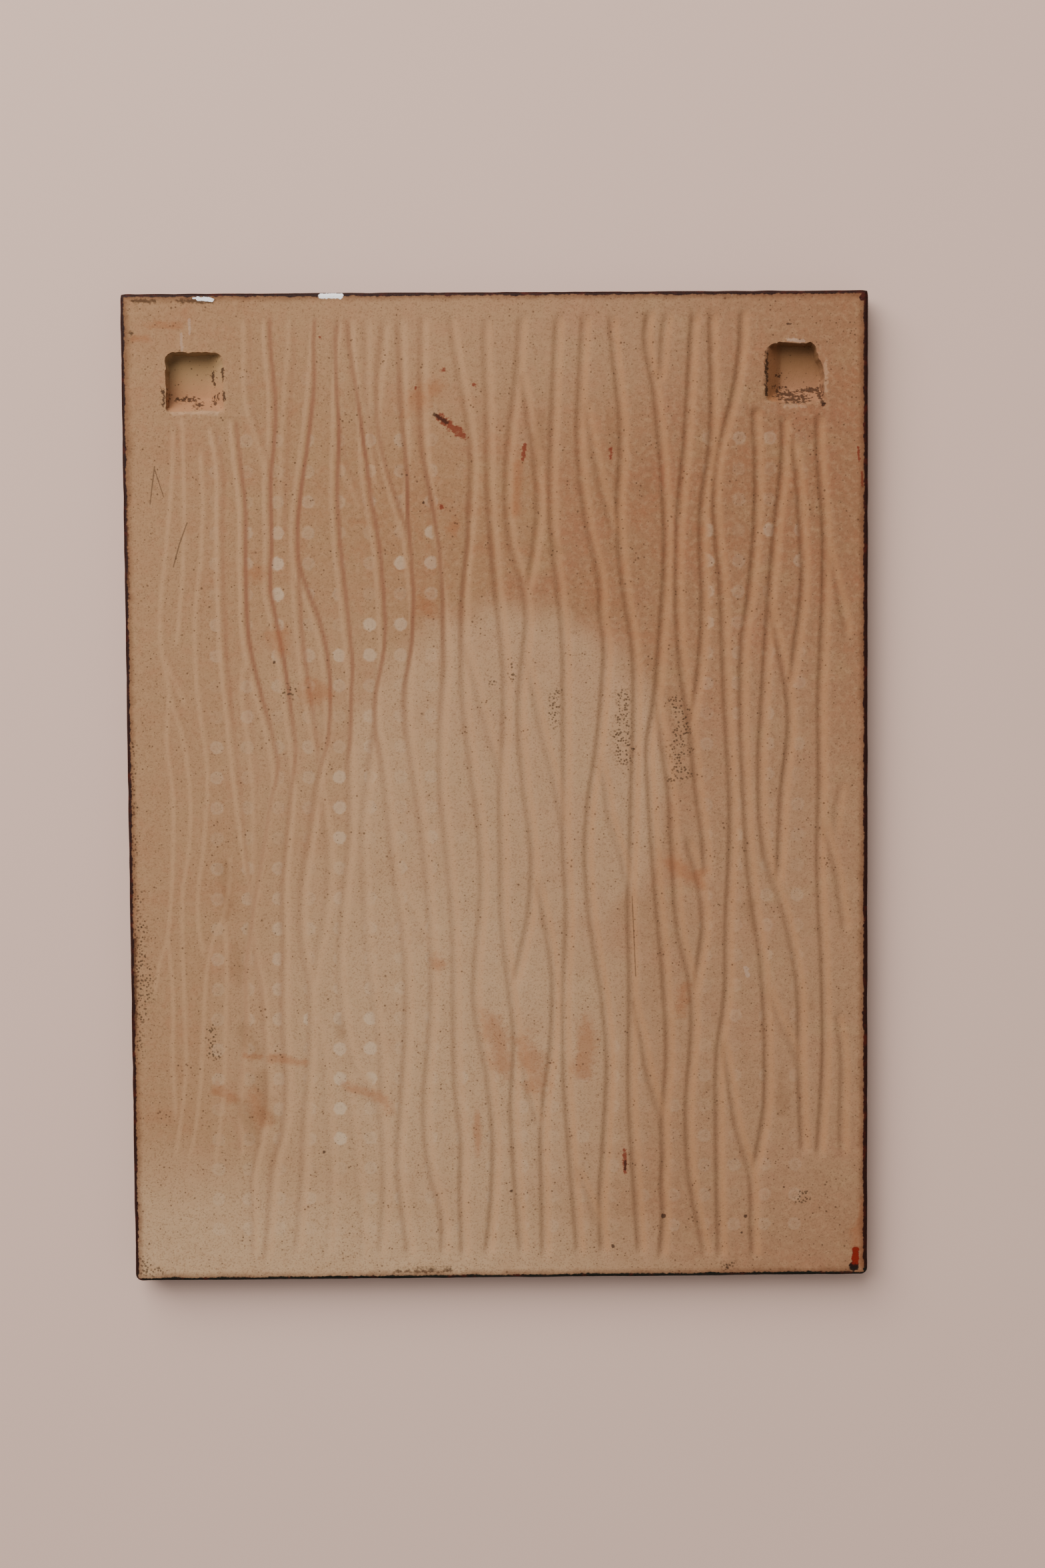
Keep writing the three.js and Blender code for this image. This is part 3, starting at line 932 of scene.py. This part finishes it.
def socket_tint(tile, colour, socket, ragged, grain):
    """The sockets: browner towards the top, pinker below, dirty, with pale torn lips, with painted
    light and shade inside, and a painted highlight on a rim.
    """
    inside = tile.rise(socket, 0.04, 0.25)
    on_right = tile.rise(tile.x, -10, 10)
    # The left socket's top is kept light: painted light against the shadow of its top wall
    up_left = tile.rise(tile.y + ragged * 5, 157, 173)
    # The right socket darkens towards the top, partly dirt and partly painted shade under its top
    # wall; its inner slope is painted lighter, painted light against the shadow on it
    up_right = tile.rise(tile.y + ragged * 5 + tile.rise(tile.x, 116, 109) * 10, 158, 173)
    left = tile.mix(up_left, paint(158, 112, 80), paint(150, 120, 84))
    right = tile.mix(up_right, paint(148, 104, 76), paint(124, 88, 58))
    right = tile.mix(tile.rise(tile.x, 117, 112), right, paint(136, 90, 58))
    colour = tile.mix(inside * 0.9, colour, tile.mix(on_right, left, right))
    crumbly = ragged * 4.0 + (grain - 0.5) * 1.5
    rotten = tile.rise(tile.from_marks(SOCKET_DIRT) + crumbly, 0.7, 0.1)
    colour = tile.mix(rotten * 0.85, colour, paint(54, 34, 22))
    # Pale torn lips round the mouths, and a painted highlight on the left socket's bottom rim
    lip_and_highlight = tile.rise(tile.from_marks(SOCKET_LIPS_AND_HIGHLIGHTS) + crumbly, 1.0, 0.2)
    return tile.mix(lip_and_highlight * (1 - inside) * 0.24, colour, paint(196, 160, 128))


def glaze_cover(tile, socket, ragged):
    """Where the glaze lies, and each place's distance from the edge.

    It covers the sides, the hidden face and a chipped line round the back.
    """
    from_side = HALF_WIDTH - abs(tile.x) - tile.rise(tile.x, 0, 1) * 0.4
    from_end = HALF_HEIGHT - abs(tile.y)
    wander = ragged * 1.5 + (tile.noise(8, 2.0, shift=260) - 0.5) * 1.4
    from_edge = from_side.or_less(from_end) + wander
    drips = tile.from_marks(GLAZE_DRIPS) + ragged
    rim = tile.rise(from_edge, 1.85, 1.4).or_more(tile.rise(drips, 1.15, 0.85))
    side = tile.rise(tile.z, THICKNESS - 1.0, THICKNESS - 1.4)
    return rim.or_more(side) * tile.rise(socket, 0.1, 0.05), from_edge


def clay_and_glaze():
    """The bare clay of the back, its marks, and the dark glaze that rolls over the edges."""
    tile = Finish("bare_clay_and_glaze")
    socket = tile.stored("socket")
    fine = tile.noise(2.2, 3.0, shift=70)
    grain = tile.noise(0.7, 2.0, shift=110)
    ragged = tile.noise(1.5, 3.0, shift=160) - 0.5
    soft = tile.noise(6, 4.0, shift=170) - 0.5
    colour = clay_ground(tile, fine, grain, soft)
    colour = setter_dots(tile, colour, ragged)
    colour = groove_stain_shade_and_light(tile, colour)
    colour = socket_tint(tile, colour, socket, ragged, grain)
    colour = clay_marks(tile, colour, ragged, soft)

    glaze, from_edge = glaze_cover(tile, socket, ragged)
    darkening = tile.rise(from_edge + soft * 2.0, 4.4, 1.2)
    colour = tile.mix(darkening * 0.6, colour, paint(88, 50, 30))
    # Painted shade: the glaze turns darker and greener along the bottom edge
    shaded_low_edge = tile.rise(tile.y, 5 - HALF_HEIGHT, 2 - HALF_HEIGHT)
    glaze_colour = tile.mix(shaded_low_edge, paint(38, 14, 8), paint(22, 20, 14))
    breaks = tile.rise(tile.noise(5, 3.0, shift=300), 0.5, 0.72)
    glaze_colour = tile.mix(breaks * 0.5, glaze_colour, paint(84, 26, 12))
    drop = tile.rise(tile.from_marks(RED_DROP) + ragged * 1.6, 1.1, 0.5)
    glaze_colour = tile.mix(drop, glaze_colour, paint(112, 26, 12))
    colour = tile.mix(glaze, colour, glaze_colour)
    smear = tile.rise(tile.from_marks(PAINT_SMEARS) + ragged * 1.6, 1.1, 0.8)
    smear = smear * tile.rise(tile.z, THICKNESS - 2.5, THICKNESS - 1.5)
    colour = tile.mix(smear, colour, paint(236, 232, 232))

    # The grain shows on the back and in the sockets, and hardly on the glazed sides
    pits = tile.rise(tile.from_crumbs(2.6, 190), 0.1, 0.4)
    bare = tile.rise(tile.z, THICKNESS - 1.6, THICKNESS - 1.0) * 0.85 + 0.15
    bare = bare.or_more(tile.rise(socket, 0.05, 0.1))
    shine = glaze * tile.rise(tile.z, 12.5, 8.0)
    height = (grain * 0.6 + fine * 0.6 + pits * 0.6) * bare
    return tile.finished(
        colour, 0.88 - glaze * 0.35, height,
        **{"Coat Weight": shine * 0.5, "Coat Roughness": 0.1, "Specular IOR Level": 0.12},
    )


def pale_floor():
    """The plain pale table under the tile."""
    floor = Finish("pale_table")
    cloudy = floor.noise(90, 3.0)
    colour = floor.mix(cloudy * 0.25, paint(206, 174, 160), paint(199, 168, 154))
    return floor.finished(colour, 0.75)


# Objects

def shown(name, mesh, material):
    """Puts a mesh in the scene under that name, with its material."""
    piece = bpy.data.objects.new(name, mesh)
    bpy.context.scene.collection.objects.link(piece)
    mesh.materials.append(material)
    return piece


def make_tile():
    """The fired tile, which stands for the plain solid of the frame."""
    piece = shown("fired_tile", tile_mesh(), clay_and_glaze())
    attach(piece, "root")
    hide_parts("wall_tile")


def make_floor():
    """A wide plain table top."""
    corners = [(TABLE_REACH * side_x, TABLE_REACH * side_y, 0)
               for side_x, side_y in ((-1, -1), (1, -1), (1, 1), (-1, 1))]
    mesh = bpy.data.meshes.new("table_top")
    mesh.from_pydata(corners, [], [(0, 1, 2, 3)])
    piece = shown("table_top", mesh, pale_floor())


def make_lights():
    """A square soft key from the top left, turned to the tile, and a dim even surround."""
    lamp = bpy.data.lights.new("key_light", "AREA")
    lamp.size = KEY_SIZE
    lamp.energy = KEY_POWER
    lamp.color = KEY_COLOUR
    light = bpy.data.objects.new("key_light", lamp)
    bpy.context.scene.collection.objects.link(light)
    light.location = KEY_PLACE
    key_x, key_y, key_z = KEY_PLACE
    tilt = math.atan2(math.hypot(key_x, key_y), key_z)
    light.rotation_euler = (tilt, 0, math.atan2(key_x, -key_y))
    surround = bpy.data.worlds.new("studio_surround")
    surround.use_nodes = True
    background = surround.node_tree.nodes["Background"]
    background.inputs["Color"].default_value = SURROUND_COLOUR
    background.inputs["Strength"].default_value = SURROUND_STRENGTH
    bpy.context.scene.world = surround


def make_camera():
    """The camera, over the tile, at the photograph's angle."""
    lens = bpy.data.cameras.new("overhead_camera")
    lens.lens = 50
    lens.sensor_width = 36
    lens.clip_start = 0.01
    camera = bpy.data.objects.new("overhead_camera", lens)
    bpy.context.scene.collection.objects.link(camera)
    camera.location = CAMERA_PLACE
    camera.rotation_euler = [math.radians(turn) for turn in CAMERA_TURN]
    bpy.context.scene.camera = camera


make_tile()
make_floor()
make_lights()
make_camera()
